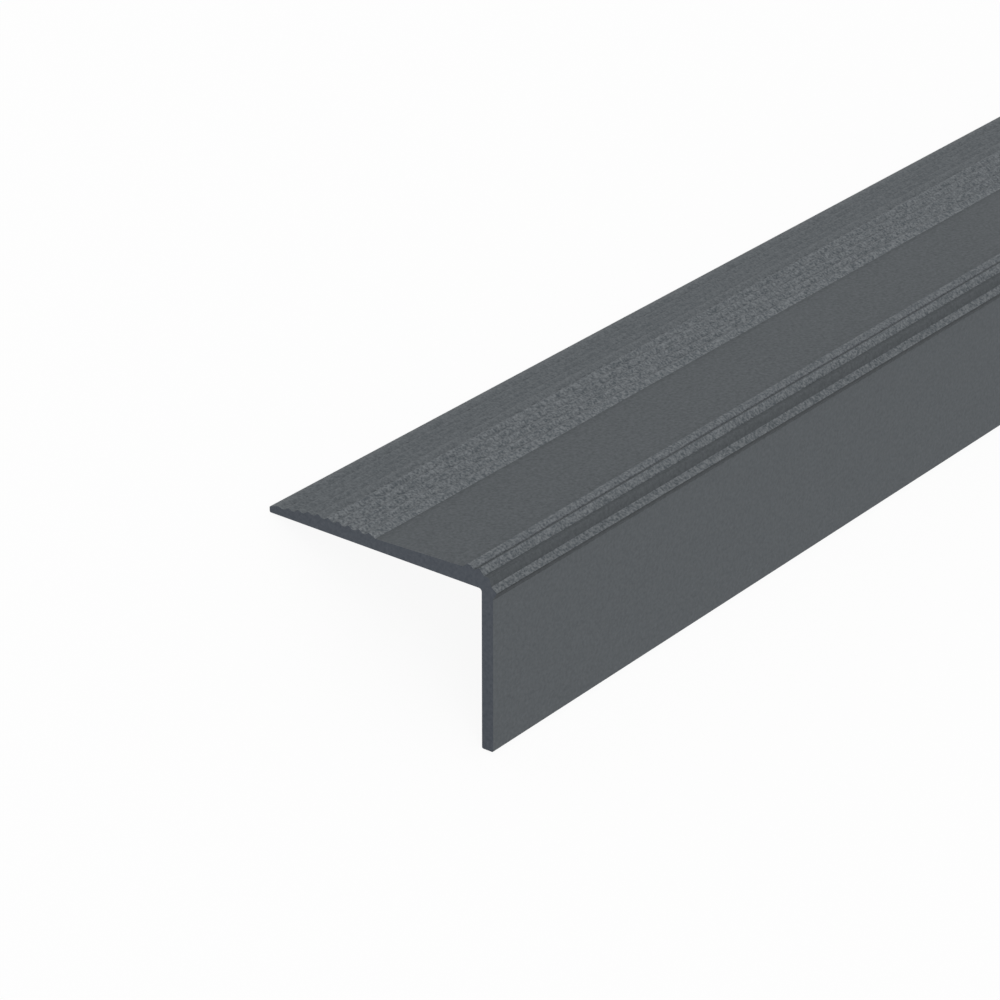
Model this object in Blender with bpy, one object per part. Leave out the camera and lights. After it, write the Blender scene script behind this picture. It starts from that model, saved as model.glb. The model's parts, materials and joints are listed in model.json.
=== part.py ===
"""Non-slip edging trim: a straight length of extruded aluminium angle that covers the front edge of a step.

The tread leg has anti-slip ribs, a smooth band and two nose ribs. The riser leg hangs from the nose, under a third
rib. The trim lies as it rests by itself on a level floor, on the riser's foot and the tread's tip, like a tent.
"""

import math

import bpy
import numpy as np

# All sizes are in metres. The section is drawn as the trim is fitted on a step: setbacks run back from the
# riser's outer face, and heights run up from the tread's flat underside.
LENGTH = 1.000
TREAD_WIDTH = 0.0500
TIP_HEIGHT = 0.00117
RISER_DROP = 0.03113
RISER_WALL = 0.00245
INNER_FILLET = 0.0006
EDGE_ROUND = 0.00028

# The anti-slip ribs. Their crests climb from the tip and then fall a little towards the nose, and the first
# grooves from the tip are shallower than the rest.
RIB_COUNT = 10
RIB_PITCH = 0.0023
SHALLOW_GROOVE_COUNT = 4
SHALLOW_GROOVE_DEPTH = 0.0006
DEEP_GROOVE_DEPTH = 0.00075
RIB_ROUND = 0.00025
FIRST_RIB_INSET = 0.0020
LAST_RIB_FRONT_RUN = 0.0015
FIRST_CREST_HEIGHT = 0.00178
CREST_CLIMB = math.radians(8.3)
LAST_CREST_HEIGHT = 0.00298
CREST_FALL = math.radians(0.6)

# The smooth band, from the last rib to the nose.
BAND_REAR_HEIGHT = 0.00224
BAND_FRONT_HEIGHT = 0.00302

# The nose, from front to rear: the shoulder, a rib with a sloping front, a groove, and a rib with a flat crest.
SHOULDER_SETBACK = 0.00085
SHOULDER_WIDTH = 0.00105
SHOULDER_DROP = 0.00124
FRONT_RIB_FACE_RUN = 0.00107
GROOVE_FRONT_RUN = 0.00113
GROOVE_REAR_RUN = 0.00075
GROOVE_DEPTH = 0.00076
REAR_RIB_CREST_WIDTH = 0.0007
REAR_RIB_BACK_RUN = 0.0009
NOSE_RIB_RISE = 0.0008
NOSE_ROUND = 0.0002

# The riser rib, which stands out of the front edge under the shoulder.
RISER_RIB_TOP_SETBACK = 0.0004
RISER_RIB_TOP_HEIGHT = 0.00102
RISER_RIB_REACH = 0.00088
RISER_RIB_APEX_HEIGHT = 0.00011
RISER_RIB_FOOT_DROP = 0.00128

ARC_STEP = math.radians(20)
COAT_COLOUR = (0.100, 0.109, 0.117, 1.0)
COAT_ROUGHNESS = 0.6
COAT_METALLIC = 0.0


def crest_height(distance):
    """Height of the rib crests, at a distance in front of the first one: the lower of the climb and the fall."""
    span = (RIB_COUNT - 1) * RIB_PITCH
    climb = FIRST_CREST_HEIGHT + distance * math.tan(CREST_CLIMB)
    fall = LAST_CREST_HEIGHT + (span - distance) * math.tan(CREST_FALL)
    return min(climb, fall)


def rib_corners():
    """The ribs' crests and the V grooves between them, from the tip to the smooth band."""
    first = TREAD_WIDTH - FIRST_RIB_INSET
    corners = []
    for rib in range(RIB_COUNT):
        crest = rib * RIB_PITCH
        groove = crest + RIB_PITCH / 2
        depth = SHALLOW_GROOVE_DEPTH if rib < SHALLOW_GROOVE_COUNT else DEEP_GROOVE_DEPTH
        corners.append((first - crest, crest_height(crest), RIB_ROUND))
        if rib < RIB_COUNT - 1:
            corners.append((first - groove, crest_height(groove) - depth, RIB_ROUND))
    corners.append((first - crest - LAST_RIB_FRONT_RUN, BAND_REAR_HEIGHT, RIB_ROUND))
    return corners


def nose_corners():
    """The front of the tread, from the smooth band over the nose ribs and the shoulder to the riser's face."""
    crest = BAND_FRONT_HEIGHT + NOSE_RIB_RISE
    shoulder = crest - SHOULDER_DROP
    shoulder_rear = SHOULDER_SETBACK + SHOULDER_WIDTH
    front_rib = shoulder_rear + FRONT_RIB_FACE_RUN
    groove = front_rib + GROOVE_FRONT_RUN
    rear_rib = groove + GROOVE_REAR_RUN
    rear_rib_back = rear_rib + REAR_RIB_CREST_WIDTH
    return [
        (rear_rib_back + REAR_RIB_BACK_RUN, BAND_FRONT_HEIGHT, NOSE_ROUND),
        (rear_rib_back, crest, NOSE_ROUND),
        (rear_rib, crest, NOSE_ROUND),
        (groove, crest - GROOVE_DEPTH, NOSE_ROUND),
        (front_rib, crest, NOSE_ROUND),
        (shoulder_rear, shoulder, NOSE_ROUND),
        (SHOULDER_SETBACK, shoulder, NOSE_ROUND),
        (RISER_RIB_TOP_SETBACK, RISER_RIB_TOP_HEIGHT, NOSE_ROUND),
        (-RISER_RIB_REACH, RISER_RIB_APEX_HEIGHT, NOSE_ROUND),
        (0, -RISER_RIB_FOOT_DROP, NOSE_ROUND),
    ]


def section_corners():
    """The whole section as corners (setback, height, rounding radius), in one loop from the tread's tip."""
    return [
        (TREAD_WIDTH, 0, EDGE_ROUND),
        (TREAD_WIDTH, TIP_HEIGHT, EDGE_ROUND),
        *rib_corners(),
        *nose_corners(),
        (0, -RISER_DROP, EDGE_ROUND),
        (RISER_WALL, -RISER_DROP, EDGE_ROUND),
        (RISER_WALL, 0, INNER_FILLET),
    ]


def corner_arc(before, corner, after, radius):
    """Points of the arc that rounds a corner, which takes at most half of the shorter side next to it."""
    back, ahead = before - corner, after - corner
    shorter = min(np.linalg.norm(back), np.linalg.norm(ahead))
    back, ahead = back / np.linalg.norm(back), ahead / np.linalg.norm(ahead)
    half_angle = math.acos(back @ ahead) / 2
    reach = min(radius / math.tan(half_angle), 0.45 * shorter)
    bisector = (back + ahead) / np.linalg.norm(back + ahead)
    centre = corner + bisector * reach / math.cos(half_angle)
    spoke = corner + back * reach - centre
    turn = math.copysign(math.pi - 2 * half_angle, ahead[0] * back[1] - ahead[1] * back[0])
    steps = max(1, math.ceil(abs(turn) / ARC_STEP))
    angles = np.linspace(0, turn, steps + 1)
    return np.column_stack([
        centre[0] + spoke[0] * np.cos(angles) - spoke[1] * np.sin(angles),
        centre[1] + spoke[0] * np.sin(angles) + spoke[1] * np.cos(angles),
    ])


def section_outline():
    """The section's points (setback, height), with every corner rounded."""
    corners = section_corners()
    places = np.array([corner[:2] for corner in corners])
    befores, afters = np.roll(places, 1, axis=0), np.roll(places, -1, axis=0)
    arcs = [
        corner_arc(before, place, after, corner[2])
        for before, place, after, corner in zip(befores, places, afters, corners)
    ]
    return np.concatenate(arcs)


def rest_tilt(outline):
    """Angle of the line that touches the riser's foot and the tread's tip from below."""
    foot = outline[outline[:, 1] < -RISER_DROP / 2]
    tip = outline[outline[:, 0] > TREAD_WIDTH / 2]
    across = tip[None, :, 0] - foot[:, None, 0]
    rise = tip[None, :, 1] - foot[:, None, 1]
    return np.arctan2(rise, across).min(axis=1).max()


def add_coat():
    """Fine-texture anthracite powder coat."""
    coat = bpy.data.materials.new("powder_coat")
    coat.use_nodes = True
    shader = coat.node_tree.nodes["Principled BSDF"]
    shader.inputs["Base Color"].default_value = COAT_COLOUR
    shader.inputs["Roughness"].default_value = COAT_ROUGHNESS
    shader.inputs["Metallic"].default_value = COAT_METALLIC
    coat.diffuse_color = COAT_COLOUR
    return coat


def add_rest_pose(outline, collection):
    """Empty that turns the fitted section into its rest pose, centred on the floor below it."""
    tilt = rest_tilt(outline)
    across = outline[:, 0] * math.cos(tilt) + outline[:, 1] * math.sin(tilt)
    upward = outline[:, 1] * math.cos(tilt) - outline[:, 0] * math.sin(tilt)
    pose = bpy.data.objects.new("rest_pose", None)
    pose.rotation_euler = (-tilt, 0, 0)
    pose.location = (0, -(across.min() + across.max()) / 2, -upward.min())
    collection.objects.link(pose)
    return pose


def add_edging_trim(collection):
    """The section as a flat curve, drawn out to the stock length along X."""
    outline = section_outline()
    curve = bpy.data.curves.new("edging_trim", "CURVE")
    curve.dimensions = "2D"
    curve.fill_mode = "BOTH"
    curve.extrude = LENGTH / 2
    spline = curve.splines.new("POLY")
    spline.points.add(len(outline) - 1)
    for point, (setback, height) in zip(spline.points, outline):
        point.co = (setback, height, 0, 1)
    spline.use_cyclic_u = True
    curve.materials.append(add_coat())
    trim = bpy.data.objects.new("edging_trim", curve)
    trim.rotation_euler = (math.pi / 2, 0, math.pi / 2)
    trim.parent = add_rest_pose(outline, collection)
    collection.objects.link(trim)


for leftover in list(bpy.data.objects):
    bpy.data.objects.remove(leftover)
parts = bpy.data.collections.new("edging_trim")
bpy.context.scene.collection.children.link(parts)
add_edging_trim(parts)
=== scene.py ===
import json
import math

import bpy
import numpy as np
from mathutils import Euler, Matrix, Vector


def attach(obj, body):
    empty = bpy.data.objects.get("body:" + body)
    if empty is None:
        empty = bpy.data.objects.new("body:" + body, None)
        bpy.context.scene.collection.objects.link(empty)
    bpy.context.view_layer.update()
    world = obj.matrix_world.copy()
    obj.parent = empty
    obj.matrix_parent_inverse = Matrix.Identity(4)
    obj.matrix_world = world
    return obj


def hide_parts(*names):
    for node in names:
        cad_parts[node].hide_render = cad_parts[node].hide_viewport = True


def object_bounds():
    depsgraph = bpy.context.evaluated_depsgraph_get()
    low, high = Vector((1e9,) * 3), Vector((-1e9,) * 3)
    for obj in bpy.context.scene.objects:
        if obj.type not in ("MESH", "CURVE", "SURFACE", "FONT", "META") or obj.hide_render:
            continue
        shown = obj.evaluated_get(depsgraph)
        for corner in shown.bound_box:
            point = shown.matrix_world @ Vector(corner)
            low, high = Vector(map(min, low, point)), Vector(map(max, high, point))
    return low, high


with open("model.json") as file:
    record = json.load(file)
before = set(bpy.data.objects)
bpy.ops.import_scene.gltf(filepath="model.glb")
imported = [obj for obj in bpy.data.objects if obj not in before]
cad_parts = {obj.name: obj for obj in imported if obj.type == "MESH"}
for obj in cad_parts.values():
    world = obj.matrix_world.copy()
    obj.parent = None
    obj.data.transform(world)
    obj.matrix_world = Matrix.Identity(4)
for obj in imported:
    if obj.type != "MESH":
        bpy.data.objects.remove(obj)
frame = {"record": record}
cad_low, cad_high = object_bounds()


# The trim's body.
# The real one is a single aluminium extrusion: a flat riser leg, and a tread leg with ten ribs, a smooth
# band and a ribbed nose. It is powder coated in a fine-texture anthracite, and its ends are sawn square.

# The section is drawn as it is fitted on a step: setbacks run back from the riser's outer face, and
# heights run up from the tread's underside. The nose has a flat-topped rib, a groove, a sloping rib, the
# shoulder, and the riser rib under it.
TREAD_WIDTH, TIP_HEIGHT = 0.0500, 0.00117
RISER_DROP, RISER_WALL = 0.03113, 0.00245
INNER_FILLET, EDGE_ROUND = 0.0006, 0.00028
RIB_COUNT, RIB_PITCH, RIB_ROUND = 10, 0.0023, 0.00025
SHALLOW_GROOVE_COUNT, SHALLOW_GROOVE_DEPTH, DEEP_GROOVE_DEPTH = 4, 0.0006, 0.00075
FIRST_RIB_SETBACK, LAST_RIB_FRONT_RUN = 0.0480, 0.0015
FIRST_CREST_HEIGHT, LAST_CREST_HEIGHT = 0.00178, 0.00298
CREST_CLIMB, CREST_FALL = math.radians(8.3), math.radians(0.6)
BAND_REAR_HEIGHT, BAND_FRONT_HEIGHT = 0.00224, 0.00302
NOSE_CREST_HEIGHT, NOSE_GROOVE_HEIGHT, SHOULDER_HEIGHT = 0.00382, 0.00306, 0.00258
NOSE_ROUND = 0.0002
NOSE = np.array([
    (0.00645, BAND_FRONT_HEIGHT),
    (0.00555, NOSE_CREST_HEIGHT),
    (0.00485, NOSE_CREST_HEIGHT),
    (0.0041, NOSE_GROOVE_HEIGHT),
    (0.00297, NOSE_CREST_HEIGHT),
    (0.0019, SHOULDER_HEIGHT),
    (0.00085, SHOULDER_HEIGHT),
    (0.0004, 0.00102),
    (-0.00088, 0.00011),
    (0.0, -0.00128),
])
ARC_STEPS = 4
MIDDLE = ARC_STEPS // 2
LARGEST_REACH = 0.45


def rib_corners():
    """Crests on the lower of a climb from the tip and a fall towards the nose, each with a groove after it.

    A groove lies half a pitch in front of its crest. The last one is the smooth band's rear corner instead.
    """
    run = np.arange(2 * RIB_COUNT) * RIB_PITCH / 2
    span = (RIB_COUNT - 1) * RIB_PITCH
    climb = FIRST_CREST_HEIGHT + run * math.tan(CREST_CLIMB)
    fall = LAST_CREST_HEIGHT + (span - run) * math.tan(CREST_FALL)
    heights = np.minimum(climb, fall)
    deep_count = RIB_COUNT - SHALLOW_GROOVE_COUNT
    heights[1::2] -= np.repeat([SHALLOW_GROOVE_DEPTH, DEEP_GROOVE_DEPTH], [SHALLOW_GROOVE_COUNT, deep_count])
    heights[-1] = BAND_REAR_HEIGHT
    run[-1] = span + LAST_RIB_FRONT_RUN
    return np.column_stack([FIRST_RIB_SETBACK - run, heights])


def rounded(corners, radii, steps):
    """Each corner becomes an arc round a centre on its bisector: its points, and their outward normals.

    An arc reaches along its sides by its radius over the tangent of half the corner's angle, and by no more
    than the largest share of the shorter side.
    """
    back, ahead = np.roll(corners, 1, 0) - corners, np.roll(corners, -1, 0) - corners
    back_length, ahead_length = np.linalg.norm(back, axis=1), np.linalg.norm(ahead, axis=1)
    back, ahead = back / back_length[:, None], ahead / ahead_length[:, None]
    half = np.arccos((back * ahead).sum(1)) / 2
    reach = np.minimum(radii / np.tan(half), LARGEST_REACH * np.minimum(back_length, ahead_length))
    bisector = (back + ahead) / np.linalg.norm(back + ahead, axis=1)[:, None]
    centres = corners + bisector * (reach / np.cos(half))[:, None]
    spokes = corners + back * reach[:, None] - centres
    side = np.sign(ahead[:, 0] * back[:, 1] - ahead[:, 1] * back[:, 0])
    turns = (side * (np.pi - 2 * half))[:, None] * np.linspace(0, 1, steps + 1)
    across = spokes[:, :1] * np.cos(turns) - spokes[:, 1:] * np.sin(turns)
    upward = spokes[:, :1] * np.sin(turns) + spokes[:, 1:] * np.cos(turns)
    arms = np.stack([across, upward], -1)
    outward = side[:, None, None] * arms / np.linalg.norm(arms, axis=-1, keepdims=True)
    return centres[:, None] + arms, outward


tip = np.array([(TREAD_WIDTH, 0), (TREAD_WIDTH, TIP_HEIGHT)])
ribs = rib_corners()
foot = np.array([(0, -RISER_DROP), (RISER_WALL, -RISER_DROP)])
inner = np.array([(RISER_WALL, 0)])
corners = np.concatenate([tip, ribs, NOSE, foot, inner])
radii = np.repeat(
    [EDGE_ROUND, RIB_ROUND, NOSE_ROUND, EDGE_ROUND, INNER_FILLET],
    [len(tip), len(ribs), len(NOSE), len(foot), len(inner)],
)
arcs, arc_normals = rounded(corners, radii, ARC_STEPS)

# It lies like a tent on the riser's foot and the tread's tip. The tread's underside says how far it is
# turned from its fitted attitude, and the CAD box says where it lies. It lies a hair higher than the box, so
# that rounding leaves nothing below it.
underside = next(m for m in frame["record"]["mounts"] if m["name"] == "tread_underside")
REST_TILT = math.atan2(-underside["axis"][1], -underside["axis"][2])
LENGTH = cad_high.x - cad_low.x
HAIR = 1e-7


def turned(setbacks, heights):
    """The fitted section's (setback, height) turned down by the rest tilt, about the trim's length."""
    cosine, sine = math.cos(REST_TILT), math.sin(REST_TILT)
    return setbacks * cosine + heights * sine, heights * cosine - setbacks * sine


section_y, section_z = turned(arcs[..., 0], arcs[..., 1])
CORNER = Vector((cad_low.x, cad_low.y - section_y.min(), cad_low.z - section_z.min() + HAIR))


def placed(along, setbacks, heights):
    """Points in the row frame, from the distance along the trim and the place in its fitted section."""
    y, z = turned(setbacks, heights)
    return np.stack(np.broadcast_arrays(CORNER.x + along, CORNER.y + y, CORNER.z + z), -1)


# The section's corners by number, from the tip to the riser. Between the corners of a grit run the body
# steps down by the seat's depth, and the gritty strips of the next sections are laid in there.
TIP_TOP, BAND_REAR = 1, 1 + 2 * RIB_COUNT
REAR_CREST, GROOVE, FRONT_CREST, SHOULDER = BAND_REAR + 2, BAND_REAR + 4, BAND_REAR + 5, BAND_REAR + 6
RIB_TOP, RIB_APEX, RIB_FOOT = BAND_REAR + 8, BAND_REAR + 9, BAND_REAR + 10
GRIT_RUNS = (
    np.arange(TIP_TOP, BAND_REAR + 1, 2),
    np.array([REAR_CREST, GROOVE]),
    np.array([FRONT_CREST, SHOULDER]),
    np.array([RIB_TOP, RIB_APEX]),
)
SEAT_DEPTH = 0.00015

# Painted shade: the smooth coat's colour is darkened along some of the section's corners and under the riser
# rib, where shade falls. Two of these fade out on the next side.
PAINTED_SHADES = {
    BAND_REAR: 0.155,
    GROOVE: 0.155,
    FRONT_CREST: 0.155,
    SHOULDER: 0.26,
    SHOULDER + 1: 0.175,
    RIB_TOP: 0.28,
    RIB_APEX: 0.58,
    RIB_FOOT: 0.29,
}
PAINTED_SHADE_FADES = {BAND_REAR: 0.0012, RIB_FOOT: 0.0002}


def body_outline():
    """The arcs in order, less those under the grit, whose corners are lowered along their normals instead.

    Each point has its painted shade. The arcs' points have whole numbers as keys, the points that are put in
    have the keys of those that they replace or halves between, and sorting the keys puts all in order.
    """
    keys = np.arange(arcs[..., 0].size, dtype=float).reshape(arcs.shape[:2])
    shades = np.zeros(arcs.shape[:2])
    shades[list(PAINTED_SHADES)] = np.array(list(PAINTED_SHADES.values()))[:, None]
    kept = np.ones(arcs.shape[:2], bool)
    added, added_keys = [], []
    for corner, fade in PAINTED_SHADE_FADES.items():
        side = arcs[corner + 1, 0] - arcs[corner, -1]
        added.append(arcs[corner, -1:] + fade * side / np.linalg.norm(side))
        added_keys.append(keys[corner, -1:] + 0.5)
    for run in GRIT_RUNS:
        kept[run[0], MIDDLE + 1:] = kept[run[0] + 1:run[-1]] = kept[run[-1], :MIDDLE] = False
        middles = keys[run, MIDDLE]
        middles[[0, -1]] += 0.5, -0.5
        added.append(arcs[run, MIDDLE] - SEAT_DEPTH * arc_normals[run, MIDDLE])
        added_keys.append(middles)
    order = np.argsort(np.concatenate([keys[kept], *added_keys]))
    added = np.concatenate(added)
    outline = np.concatenate([arcs[kept], added])[order]
    return outline, np.concatenate([shades[kept], np.zeros(len(added))])[order]


def closed_mesh(name, rings, smooth):
    """A body from rings of points (stations, points, 3): quads between neighbouring rings, and two end faces.

    A quad joins a point and the next one of its ring to the same two of the next ring. The quads are smooth
    or flat by column, and the ends are flat.
    """
    stations, points = rings.shape[:2]
    station, point = np.meshgrid(np.arange(stations - 1), np.arange(points), indexing="ij")
    following = (point + 1) % points
    quads = np.stack([
        station * points + point,
        station * points + following,
        (station + 1) * points + following,
        (station + 1) * points + point,
    ], -1).reshape(-1, 4)
    near_cap = np.arange(points)[::-1]
    far_cap = (stations - 1) * points + np.arange(points)
    loops = np.concatenate([quads.ravel(), near_cap, far_cap])
    starts = np.concatenate([np.arange(len(quads)) * 4, len(quads) * 4 + np.array([0, points])])
    mesh = bpy.data.meshes.new(name)
    mesh.vertices.add(stations * points)
    mesh.vertices.foreach_set("co", rings.reshape(-1).astype(np.float32))
    mesh.loops.add(len(loops))
    mesh.loops.foreach_set("vertex_index", loops.astype(np.int32))
    mesh.polygons.add(len(starts))
    mesh.polygons.foreach_set("loop_start", starts.astype(np.int32))
    mesh.polygons.foreach_set("use_smooth", np.append(np.tile(smooth, stations - 1), [False, False]))
    mesh.update(calc_edges=True)
    mesh.validate()
    piece = bpy.data.objects.new(name, mesh)
    bpy.context.scene.collection.objects.link(piece)
    return piece


def mark(piece, name, values):
    """A number on every vertex, which the piece's material reads by its name."""
    layer = piece.data.attributes.new(name, "FLOAT", "POINT")
    layer.data.foreach_set("value", values.ravel().astype(np.float32))


def part_of_trim(piece):
    """The piece is attached to the trim's one solid, and the CAD part is hidden."""
    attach(piece, "root")
    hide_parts("edging_trim")


# Only the arcs' own narrow facets are smooth.
BODY_STATIONS = 41
FACET_WIDTH = 0.0002
outline, shades = body_outline()
stations = np.linspace(0, LENGTH, BODY_STATIONS)
sides = np.linalg.norm(np.roll(outline, -1, 0) - outline, axis=1)
trim = closed_mesh(
    "trim_body",
    placed(stations[:, None], outline[None, :, 0], outline[None, :, 1]),
    sides < FACET_WIDTH,
)
mark(trim, "painted_shade", np.tile(shades, BODY_STATIONS))
part_of_trim(trim)

GRAIN_DETAIL, GRAIN_FALLOFF = 1.5, 0.6
GRAIN_MEAN = 0.5
CLOUDS_PER_METRE = 60
ROUGHNESS_RANGE = (0.78, 0.66)
# The dark tint that painted shade mixes towards.
PAINTED_SHADE_TINT = (0.014, 0.016, 0.018)


def grain_group():
    """Fine noise, mixed with a height from the mesh, picks between two colours and between two roughnesses.

    The mix is stretched from the spread on either side of its mean to nought and one, and then takes in a
    share of slow clouds. The noise alone is the height for a bump.
    """
    group = bpy.data.node_groups.new("powder_grain", "ShaderNodeTree")
    panel = group.interface
    for label, kind, value in (
        ("Dark", "NodeSocketColor", (0.05, 0.05, 0.05, 1)),
        ("Light", "NodeSocketColor", (0.1, 0.1, 0.1, 1)),
        ("Grains per Metre", "NodeSocketFloat", 2500),
        ("Relief", "NodeSocketFloat", 0.5),
        ("Relief Share", "NodeSocketFloat", 0.0),
        ("Spread", "NodeSocketFloat", 0.3),
        ("Cloud", "NodeSocketFloat", 0.1),
    ):
        panel.new_socket(label, in_out="INPUT", socket_type=kind).default_value = value
    panel.new_socket("Colour", in_out="OUTPUT", socket_type="NodeSocketColor")
    panel.new_socket("Roughness", in_out="OUTPUT", socket_type="NodeSocketFloat")
    panel.new_socket("Height", in_out="OUTPUT", socket_type="NodeSocketFloat")
    nodes, links = group.nodes, group.links
    given, result = nodes.new("NodeGroupInput"), nodes.new("NodeGroupOutput")
    place = nodes.new("ShaderNodeTexCoord")
    fine = nodes.new("ShaderNodeTexNoise")
    fine.inputs["Detail"].default_value = GRAIN_DETAIL
    fine.inputs["Roughness"].default_value = GRAIN_FALLOFF
    links.new(place.outputs["Object"], fine.inputs["Vector"])
    links.new(given.outputs["Grains per Metre"], fine.inputs["Scale"])
    cloud = nodes.new("ShaderNodeTexNoise")
    cloud.inputs["Scale"].default_value = CLOUDS_PER_METRE
    links.new(place.outputs["Object"], cloud.inputs["Vector"])

    blend = nodes.new("ShaderNodeMix")
    links.new(given.outputs["Relief Share"], blend.inputs["Factor"])
    links.new(fine.outputs["Fac"], blend.inputs["A"])
    links.new(given.outputs["Relief"], blend.inputs["B"])
    low = nodes.new("ShaderNodeMath")
    low.operation = "SUBTRACT"
    low.inputs[0].default_value = GRAIN_MEAN
    high = nodes.new("ShaderNodeMath")
    high.operation = "ADD"
    high.inputs[0].default_value = GRAIN_MEAN
    links.new(given.outputs["Spread"], low.inputs[1])
    links.new(given.outputs["Spread"], high.inputs[1])
    grain = nodes.new("ShaderNodeMapRange")
    links.new(blend.outputs["Result"], grain.inputs["Value"])
    links.new(low.outputs[0], grain.inputs["From Min"])
    links.new(high.outputs[0], grain.inputs["From Max"])

    clouded = nodes.new("ShaderNodeMix")
    links.new(given.outputs["Cloud"], clouded.inputs["Factor"])
    links.new(grain.outputs["Result"], clouded.inputs["A"])
    links.new(cloud.outputs["Fac"], clouded.inputs["B"])
    colour = nodes.new("ShaderNodeMix")
    colour.data_type = "RGBA"
    links.new(clouded.outputs["Result"], colour.inputs["Factor"])
    links.new(given.outputs["Dark"], colour.inputs["A"])
    links.new(given.outputs["Light"], colour.inputs["B"])
    rough = nodes.new("ShaderNodeMapRange")
    rough.inputs["To Min"].default_value, rough.inputs["To Max"].default_value = ROUGHNESS_RANGE
    links.new(clouded.outputs["Result"], rough.inputs["Value"])
    links.new(colour.outputs["Result"], result.inputs["Colour"])
    links.new(rough.outputs["Result"], result.inputs["Roughness"])
    links.new(fine.outputs["Fac"], result.inputs["Height"])
    return group


powder_grain = grain_group()


def coat_material(
    name, dark, light, grains, bump_height, specular, relief_share=0.0, cloud=0.1, spread=0.3
):
    """The powder coat with its own two colours and grain, and a bump of the grain's height."""
    coat = bpy.data.materials.new(name)
    coat.use_nodes = True
    nodes, links = coat.node_tree.nodes, coat.node_tree.links
    shader = nodes["Principled BSDF"]
    shader.inputs["Specular IOR Level"].default_value = specular
    grain = nodes.new("ShaderNodeGroup")
    grain.node_tree = powder_grain
    for label, value in (
        ("Dark", (*dark, 1)),
        ("Light", (*light, 1)),
        ("Grains per Metre", grains),
        ("Relief Share", relief_share),
        ("Cloud", cloud),
        ("Spread", spread),
    ):
        grain.inputs[label].default_value = value
    bump = nodes.new("ShaderNodeBump")
    bump.inputs["Distance"].default_value = bump_height
    links.new(grain.outputs["Height"], bump.inputs["Height"])
    links.new(bump.outputs["Normal"], shader.inputs["Normal"])
    links.new(grain.outputs["Colour"], shader.inputs["Base Color"])
    links.new(grain.outputs["Roughness"], shader.inputs["Roughness"])
    return coat, grain


def darken_by_painted_shade(coat, grain):
    """Painted shade: between the grain's colour and the shader, a mix towards a dark tint by the piece's
    shade mark.
    """
    nodes, links = coat.node_tree.nodes, coat.node_tree.links
    amount = nodes.new("ShaderNodeAttribute")
    amount.attribute_name = "painted_shade"
    mix = nodes.new("ShaderNodeMix")
    mix.data_type = "RGBA"
    mix.inputs["B"].default_value = (*PAINTED_SHADE_TINT, 1)
    links.new(amount.outputs["Fac"], mix.inputs["Factor"])
    links.new(grain.outputs["Colour"], mix.inputs["A"])
    links.new(mix.outputs["Result"], nodes["Principled BSDF"].inputs["Base Color"])


smooth_coat, smooth_grain = coat_material(
    "smooth_coat",
    dark=(0.066, 0.074, 0.079),
    light=(0.105, 0.115, 0.124),
    grains=1600,
    bump_height=0.00002,
    specular=0.15,
)
darken_by_painted_shade(smooth_coat, smooth_grain)
plain_coat, _ = coat_material(
    "plain_coat",
    dark=(0.078, 0.086, 0.093),
    light=(0.102, 0.112, 0.120),
    grains=1600,
    bump_height=0.00001,
    specular=0.15,
)
sawn_end, _ = coat_material(
    "sawn_end",
    dark=(0.052, 0.061, 0.075),
    light=(0.091, 0.101, 0.117),
    grains=1400,
    bump_height=0.00002,
    specular=0.15,
    cloud=0.3,
)

# The plain coat starts on the riser just below its rib, and goes round the foot and the inner faces.
for coat in (smooth_coat, plain_coat, sawn_end):
    trim.data.materials.append(coat)
SMOOTH, PLAIN, SAWN = range(3)
first_plain = len(outline) - arcs[RIB_FOOT + 1:, :, 0].size - 1
side_coats = np.where(np.arange(len(outline)) < first_plain, SMOOTH, PLAIN)
face_coats = np.append(np.tile(side_coats, BODY_STATIONS - 1), [SAWN, SAWN])
trim.data.polygons.foreach_set("material_index", face_coats.astype(np.int32))


# The ribs' gritty coat.
# On the ten ribs the powder coat is coarse and gritty, for grip. Its relief is part of the coat: each rib
# has a thin strip whose grains reach up to the section's outline and whose pits lie below it.
GRAIN_PITCH = 0.0003
NEIGHBOUR_SHARES = (0.06, 0.1)
END_INSET = 0.00002
STRIP_DEPTH = 2 * SEAT_DEPTH
FOLD_ANGLE = math.radians(75)
grain_places = np.linspace(END_INSET, LENGTH - END_INSET, round(LENGTH / GRAIN_PITCH))


def path_between(first, last, cells):
    """The section from one corner's middle to another's, at even lengths: its places and outward normals."""
    def joined(values):
        """The first arc's second half, the whole arcs between, and the last arc's first half."""
        return np.concatenate([
            values[first, MIDDLE:],
            values[first + 1:last].reshape(-1, 2),
            values[last, :MIDDLE + 1],
        ])
    places, normals = joined(arcs), joined(arc_normals)
    lengths = np.append(0, np.linalg.norm(np.diff(places, axis=0), axis=1).cumsum())
    even = np.linspace(0, lengths[-1], cells + 1)
    places = np.stack([np.interp(even, lengths, places[:, axis]) for axis in (0, 1)], -1)
    normals = np.stack([np.interp(even, lengths, normals[:, axis]) for axis in (0, 1)], -1)
    return places, normals / np.linalg.norm(normals, axis=1)[:, None]


def grit_relief(cells, seed):
    """Random heights from nought to one at each grain place and cell, each mixed with its neighbours."""
    relief = np.random.default_rng(seed).random((len(grain_places), cells + 1))
    for axis, share in enumerate(NEIGHBOUR_SHARES):
        neighbours = np.roll(relief, 1, axis) + np.roll(relief, -1, axis)
        relief = (1 - 2 * share) * relief + share * neighbours
    return relief


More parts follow.
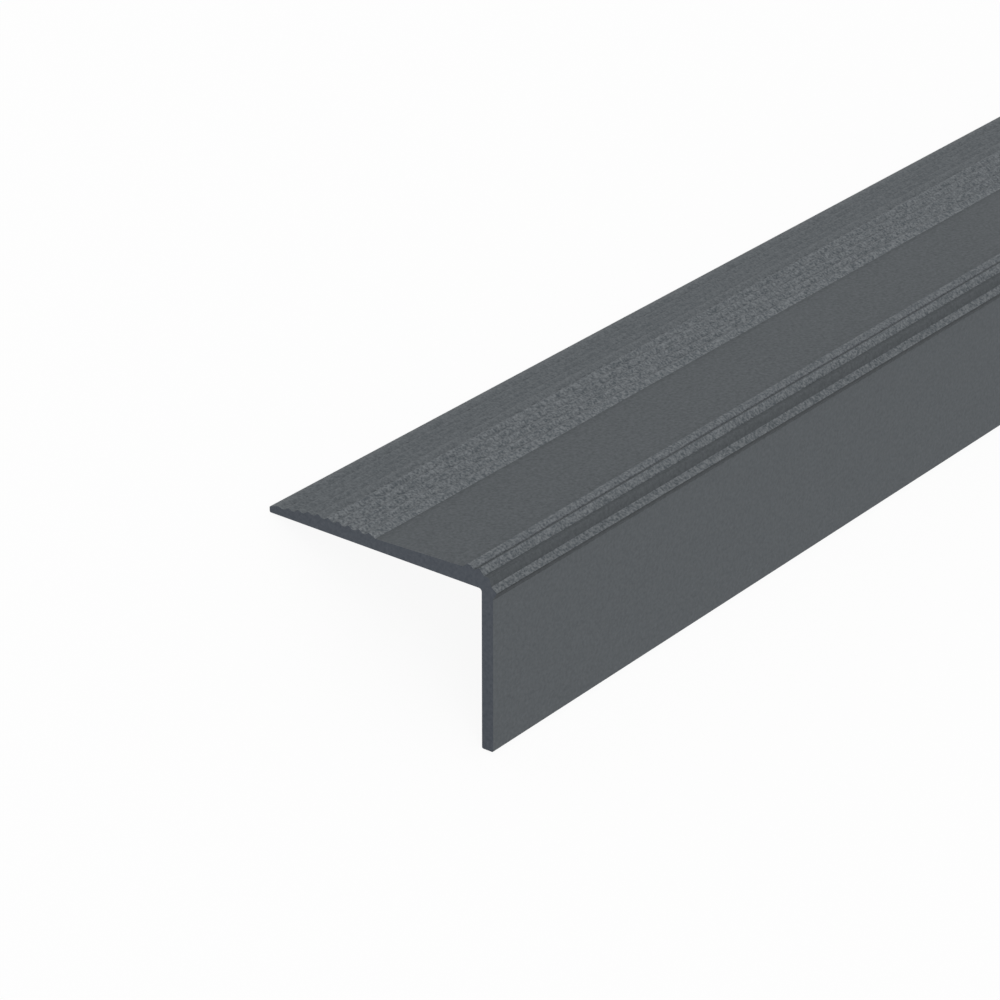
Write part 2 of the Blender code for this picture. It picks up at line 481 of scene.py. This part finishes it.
def grit_strip(name, first, last, relief, depth, painted_shades, coat):
    """The section's path with each point sunk by its depth, over square sides and a flat underside.

    The painted shade is given as shares of the path's length and how dark the coat is painted there. The
    folds to the sides are sharp, so that the gritty top is shaded by itself. The last two faces are the
    strip's sawn ends.
    """
    cells = relief.shape[1] - 1
    places, normals = path_between(first, last, cells)
    top = places - depth[..., None] * normals
    under = (places - STRIP_DEPTH * normals)[[-1, 0]]
    section = np.concatenate([top, np.broadcast_to(under, (len(top), *under.shape))], axis=1)
    strip = closed_mesh(
        name,
        placed(grain_places[:, None], section[..., 0], section[..., 1]),
        np.arange(section.shape[1]) < cells,
    )
    top_shades = np.interp(np.linspace(0, 1, cells + 1), *painted_shades)
    mark(strip, "relief", np.pad(relief, ((0, 0), (0, len(under)))))
    mark(strip, "painted_shade", np.tile(np.pad(top_shades, (0, len(under))), len(top)))
    strip.data.materials.append(coat)
    strip.data.materials.append(sawn_end)
    for end_face in strip.data.polygons[-2:]:
        end_face.material_index = 1
    strip.data.set_sharp_from_angle(angle=FOLD_ANGLE)
    part_of_trim(strip)


def grit_material(name, dark, light, bump_height):
    """Grains in two colours, by the strip's relief and a finer noise."""
    coat, grain = coat_material(
        name, dark, light, grains=2200, bump_height=bump_height, specular=0.1, relief_share=0.3, cloud=0.0,
        spread=0.15,
    )
    darken_by_painted_shade(coat, grain)
    nodes, links = coat.node_tree.nodes, coat.node_tree.links
    relief = nodes.new("ShaderNodeAttribute")
    relief.attribute_name = "relief"
    links.new(relief.outputs["Fac"], grain.inputs["Relief"])
    return coat


front_grit = grit_material("front_grit", (0.079, 0.090, 0.099), (0.181, 0.194, 0.204), 0.00002)
# Painted light: a paler copy of the rear grit, for the rib with the steeper face.
middle_grit_painted_light = grit_material("middle_grit_painted_light", (0.093, 0.103, 0.111), (0.139, 0.151, 0.160), 0.00003)
rear_grit = grit_material("rear_grit", (0.086, 0.096, 0.104), (0.130, 0.142, 0.151), 0.00003)

# The five ribs nearest the tip have a finer grit than the five in front of them, and the last of those five
# is paler, which is painted light on its steeper face. Powder gathers in the grooves between the ribs and
# fills them in part, to an uneven height, and painted shade darkens the coat at the groove bottoms.
FIRST_FRONT_RIB = 5
FRONT_RIB_COUNT = RIB_COUNT - FIRST_FRONT_RIB
RIB_COATS = [rear_grit] * (FIRST_FRONT_RIB - 1) + [middle_grit_painted_light] + [front_grit] * FRONT_RIB_COUNT
RIB_CELLS, RIBS_SEED = 9, 0
REAR_RELIEF, FRONT_RELIEF, GROOVE_FILL = 0.00004, 0.00008, 0.00012
# Painted shade at the groove bottoms, fading out up the flanks.
RIB_SHADE_PLACES, RIB_PAINTED_SHADE = (0, 0.25, 0.8, 1), np.array([1, 0, 0, 1])
REAR_RIB_SHADE, FRONT_RIB_SHADE = 0.04, 0.08
ribs_relief = grit_relief(RIB_COUNT * RIB_CELLS, RIBS_SEED)
ribs_depth = FRONT_RELIEF * (1 - ribs_relief)
ribs_depth[:, :FIRST_FRONT_RIB * RIB_CELLS] *= REAR_RELIEF / FRONT_RELIEF
ribs_depth[:, RIB_CELLS:-1:RIB_CELLS] = -GROOVE_FILL * ribs_relief[:, RIB_CELLS:-1:RIB_CELLS]
ribs_depth[:, [0, -1]] = 0
for rib in range(RIB_COUNT):
    own_cells = slice(rib * RIB_CELLS, (rib + 1) * RIB_CELLS + 1)
    beside_groove = np.repeat([rib > 0, rib < RIB_COUNT - 1], 2)
    shade = FRONT_RIB_SHADE if rib >= FIRST_FRONT_RIB else REAR_RIB_SHADE
    grit_strip(
        f"rib_{rib + 1:02d}",
        TIP_TOP + 2 * rib,
        TIP_TOP + 2 * rib + 2,
        ribs_relief[:, own_cells],
        ribs_depth[:, own_cells],
        (RIB_SHADE_PLACES, shade * RIB_PAINTED_SHADE * beside_groove),
        RIB_COATS[rib],
    )


# The nose ribs and the riser rib.
# They are part of the extrusion too, and have the same coarse grit in the powder coat, on the faces that a
# shoe meets. The rear one has paler grit colours, painted light on its slope, and painted shade on its crest
# and down in the groove. The front one and the riser rib are evenly darkened by painted shade.
NOSE_CELLS = 5
# How dark the painted shade is along each nose strip's path.
REAR_NOSE_SHADES = ((0.4, 0.8, 1), (0.21, 0, 0.25))
FRONT_NOSE_SHADES = ((0, 1), (0.08, 0.08))
RISER_RIB_SHADES = ((0, 1), (0.12, 0.12))
# Painted light: a paler copy of the front grit, for the rear nose rib's slope.
nose_grit_painted_light = grit_material("nose_grit_painted_light", (0.0995, 0.112, 0.123), (0.205, 0.220, 0.232), 0.00004)
NOSE_STRIPS = (
    ("nose_rib_rear", REAR_CREST, GROOVE, REAR_NOSE_SHADES, nose_grit_painted_light),
    ("nose_rib_front", FRONT_CREST, SHOULDER, FRONT_NOSE_SHADES, front_grit),
    ("riser_rib", RIB_TOP, RIB_APEX, RISER_RIB_SHADES, front_grit),
)
for seed, (name, first, last, painted_shades, coat) in enumerate(NOSE_STRIPS, RIBS_SEED + 1):
    relief = grit_relief(NOSE_CELLS, seed)
    depth = FRONT_RELIEF * (1 - relief)
    depth[:, [0, -1]] = 0
    grit_strip(name, first, last, relief, depth, painted_shades, coat)


# The camera.
# A long lens at the photograph's angle. Its place and turn are given for the trim as fitted, from the near
# end's corner, and are then turned with the trim into the rest pose, so the picture is the same.
CAMERA_ALONG, CAMERA_SETBACK, CAMERA_HEIGHT = -0.44794, -0.35019, 0.29862
CAMERA_YAW, CAMERA_PITCH = math.radians(37.899), math.radians(26.305)
PHOTO_SIDE, FOCAL_PIXELS = 1000, 3794.6
camera = bpy.data.objects.new("camera", bpy.data.cameras.new("camera"))
camera.data.lens = camera.data.sensor_width * FOCAL_PIXELS / PHOTO_SIDE
camera.location = placed(CAMERA_ALONG, CAMERA_SETBACK, CAMERA_HEIGHT)
fitted_turn = Euler((math.pi / 2 - CAMERA_PITCH, 0, CAMERA_YAW - math.pi / 2)).to_matrix()
camera.rotation_euler = (Matrix.Rotation(-REST_TILT, 3, "X") @ fitted_turn).to_euler()
bpy.context.scene.collection.objects.link(camera)
bpy.context.scene.camera = camera


# The floor and the light.
# A white floor that shows white to the camera and keeps the trim's shadow, a white surround, and one soft
# key light from above the nose. The key's direction is given for the trim as fitted, and turned with it.
FLOOR_SIDE = 12
FLOOR_COLOUR = (0.8, 0.8, 0.8, 1)
FLOOR_WHITE_SHARE = 0.93
SURROUND_LIGHT = 0.93
KEY_FROM = Vector((-0.35, -0.75, 0.55))
KEY_STRENGTH, KEY_SPREAD = 0.3, math.radians(40)


def seen_directly(nodes, links):
    """One for camera, glossy and transmission rays, and nought for the rays that light things."""
    path = nodes.new("ShaderNodeLightPath")
    total = path.outputs["Is Camera Ray"]
    for label in ("Is Glossy Ray", "Is Transmission Ray"):
        either = nodes.new("ShaderNodeMath")
        either.operation = "MAXIMUM"
        links.new(total, either.inputs[0])
        links.new(path.outputs[label], either.inputs[1])
        total = either.outputs[0]
    return total


bpy.ops.mesh.primitive_plane_add(size=FLOOR_SIDE, location=(0, 0, cad_low.z))
floor = bpy.context.object
floor.name = "floor"
paper = bpy.data.materials.new("white_floor")
paper.use_nodes = True
nodes, links = paper.node_tree.nodes, paper.node_tree.links
nodes.clear()
output = nodes.new("ShaderNodeOutputMaterial")
mix = nodes.new("ShaderNodeMixShader")
lit = nodes.new("ShaderNodeBsdfDiffuse")
lit.inputs["Color"].default_value = FLOOR_COLOUR
glow = nodes.new("ShaderNodeEmission")
share = nodes.new("ShaderNodeMath")
share.operation = "MULTIPLY"
share.inputs[1].default_value = FLOOR_WHITE_SHARE
links.new(seen_directly(nodes, links), share.inputs[0])
links.new(share.outputs[0], mix.inputs["Fac"])
links.new(lit.outputs[0], mix.inputs[1])
links.new(glow.outputs[0], mix.inputs[2])
links.new(mix.outputs[0], output.inputs["Surface"])
floor.data.materials.append(paper)

# The surround is white to look at, and a little dimmer as a light.
world = bpy.data.worlds.new("studio")
bpy.context.scene.world = world
world.use_nodes = True
nodes, links = world.node_tree.nodes, world.node_tree.links
background = nodes["Background"]
background.inputs["Color"].default_value = (1, 1, 1, 1)
level = nodes.new("ShaderNodeMapRange")
level.inputs["To Min"].default_value = SURROUND_LIGHT
links.new(seen_directly(nodes, links), level.inputs["Value"])
links.new(level.outputs["Result"], background.inputs["Strength"])

key = bpy.data.objects.new("key", bpy.data.lights.new("key", "SUN"))
key.data.energy = KEY_STRENGTH
key.data.angle = KEY_SPREAD
key_direction = Matrix.Rotation(-REST_TILT, 3, "X") @ KEY_FROM
key.rotation_euler = key_direction.to_track_quat("Z", "Y").to_euler()
bpy.context.scene.collection.objects.link(key)
bpy.context.scene.view_settings.view_transform = "Standard"
